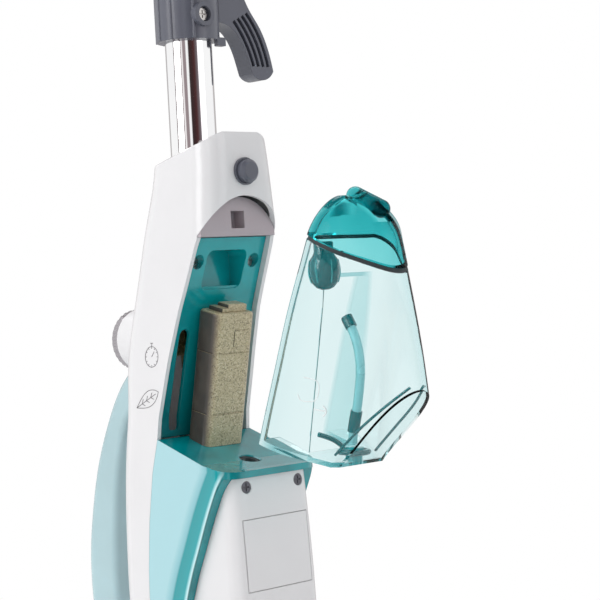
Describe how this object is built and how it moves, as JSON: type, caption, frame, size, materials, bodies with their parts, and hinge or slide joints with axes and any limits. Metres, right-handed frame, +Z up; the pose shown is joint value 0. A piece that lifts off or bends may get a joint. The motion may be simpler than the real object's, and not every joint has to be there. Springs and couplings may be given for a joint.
{
  "type": "steam mop",
  "caption": "Upright steam mop with a pull-out water tank, filter cartridge, chrome tube, cord hooks, loop handles, steam knob and a tilting, swivelling floor head with a cloth.",
  "frame": {"origin": "centre of the mop cloth's underside, on the floor", "axes": "+Z up along the tube, -Y towards the front with the water tank, +X to the right side seen from the front"},
  "size_m": [0.2822, 0.2676, 1.19],
  "materials": {
    "white_plastic": "glossy",
    "grey_white_plastic": "satin",
    "teal_plastic": "translucent glossy",
    "pale_teal_plastic": "translucent glossy",
    "tank_clear": "clear tinted",
    "cap_teal": "clear tinted",
    "dark_grey_plastic": "satin",
    "filter_tan": "speckled",
    "rubber_black": "matte",
    "chrome": "polished",
    "steel": "satin",
    "brass": "satin",
    "board_green": "matte",
    "lamp_green": "clear tinted",
    "cloth": "microfibre pile",
    "boiler_metal": "cast"
  },
  "bodies": {
    "floor_head": {"head_base": "dark_grey_plastic", "head_cover": "white_plastic", "head_bumper": "teal_plastic", "head_screws": "steel", "joint_surround": "dark_grey_plastic", "steam_distributor": "teal_plastic", "velcro_pads": "rubber_black", "mop_cloth": "cloth", "head_pivot_pin": "steel"},
    "swivel_joint": {"swivel_knuckle": "dark_grey_plastic", "swivel_pin": "steel"},
    "main_body": {"left_side_panel": "white_plastic", "right_side_panel": "white_plastic", "lower_front_cover": "white_plastic", "blank_plate": "grey_white_plastic", "front_cover_screws": "dark_grey_plastic", "tank_cradle": "teal_plastic", "tank_bay_wall": "teal_plastic", "bay_screws": "steel", "catch_panel": "grey_white_plastic", "filter_cartridge": "filter_tan", "filter_pull_tab": "filter_tan", "tube": "chrome", "button_bezel": "white_plastic", "snap_spring": "steel", "steam_valve": "brass", "rear_grip_left": "pale_teal_plastic", "rear_grip_right": "pale_teal_plastic", "power_switch_frame": "dark_grey_plastic", "indicator_lamp": "lamp_green", "boiler": "boiler_metal", "pump": "dark_grey_plastic", "water_hose": "pale_teal_plastic", "steam_pipes": "steel", "control_board": "board_green", "tank_valve_seat": "rubber_black", "lower_hook_collar": "dark_grey_plastic", "lower_cord_hook": "dark_grey_plastic", "lower_hook_screw": "steel", "upper_hook_collar": "dark_grey_plastic", "handle_left": "white_plastic", "handle_right": "white_plastic", "handle_grip_pad": "teal_plastic", "cable_inlet": "rubber_black", "neck": "white_plastic"},
    "tank": {"water_tank": "tank_clear", "tank_cap": "cap_teal", "tank_gasket": "rubber_black", "tank_latch_pin": "steel", "tank_outlet_valve": "teal_plastic", "tank_pickup_hose": "pale_teal_plastic"},
    "tank_latch": {"tank_latch_lever": "cap_teal"},
    "handle_release": {"tube_release_button": "dark_grey_plastic"},
    "snap_stud": {"tube_snap_stud": "steel"},
    "steam_regulator": {"steam_knob": "chrome", "knob_disc": "white_plastic", "knob_shaft": "brass"},
    "switch": {"power_rocker": "dark_grey_plastic"},
    "cord_release_hook": {"upper_cord_hook": "dark_grey_plastic"},
    "head_release": {"head_release_button": "dark_grey_plastic"}
  },
  "joints": [
    {"name": "head_pitch", "type": "hinge", "parent": "floor_head", "child": "swivel_joint", "pos_m": [0, 0.006, 0.06], "axis": [-1, 0, 0], "range_deg": [0, 65]},
    {"name": "neck_swivel", "type": "hinge", "parent": "swivel_joint", "child": "main_body", "pos_m": [0, 0, 0.094], "axis": [0, 1, 0], "range_deg": [-35, 35]},
    {"name": "tank_pull", "type": "slide", "parent": "main_body", "child": "tank", "axis": [0, -1, 0], "range_m": [-0.08, 0.03]},
    {"name": "tank_latch_press", "type": "hinge", "parent": "tank", "child": "tank_latch", "pos_m": [0, -0.124, 0.559], "axis": [1, 0, 0], "range_deg": [0, 7], "stiffness_Nm_per_rad": 0.05},
    {"name": "handle_release_press", "type": "slide", "parent": "main_body", "child": "handle_release", "axis": [0, 1, 0], "range_m": [0, 0.003], "stiffness_N_per_m": 600},
    {"name": "snap_stud_slide", "type": "slide", "parent": "main_body", "child": "snap_stud", "axis": [0, 1, 0], "range_m": [0, 0.003], "stiffness_N_per_m": 300},
    {"name": "steam_regulator_turn", "type": "hinge", "parent": "main_body", "child": "steam_regulator", "pos_m": [0, 0.06, 0.49], "axis": [0, 1, 0], "range_deg": [0, 270]},
    {"name": "power_rocker_tilt", "type": "hinge", "parent": "main_body", "child": "switch", "pos_m": [0, 0.0237, 0.54136], "axis": [1, 0, 0], "range_deg": [-6, 6]},
    {"name": "cord_hook_turn", "type": "hinge", "parent": "main_body", "child": "cord_release_hook", "pos_m": [0.02, 0, 0.915], "axis": [1, 0, 0], "range_deg": [0, 180]},
    {"name": "head_release_press", "type": "slide", "parent": "main_body", "child": "head_release", "axis": [0, 1, 0], "range_m": [0, 0.003], "stiffness_N_per_m": 600}
  ],
  "couplings": [
    {"joint": "snap_stud_slide", "follows": "handle_release_press", "ratio": 1}
  ]
}
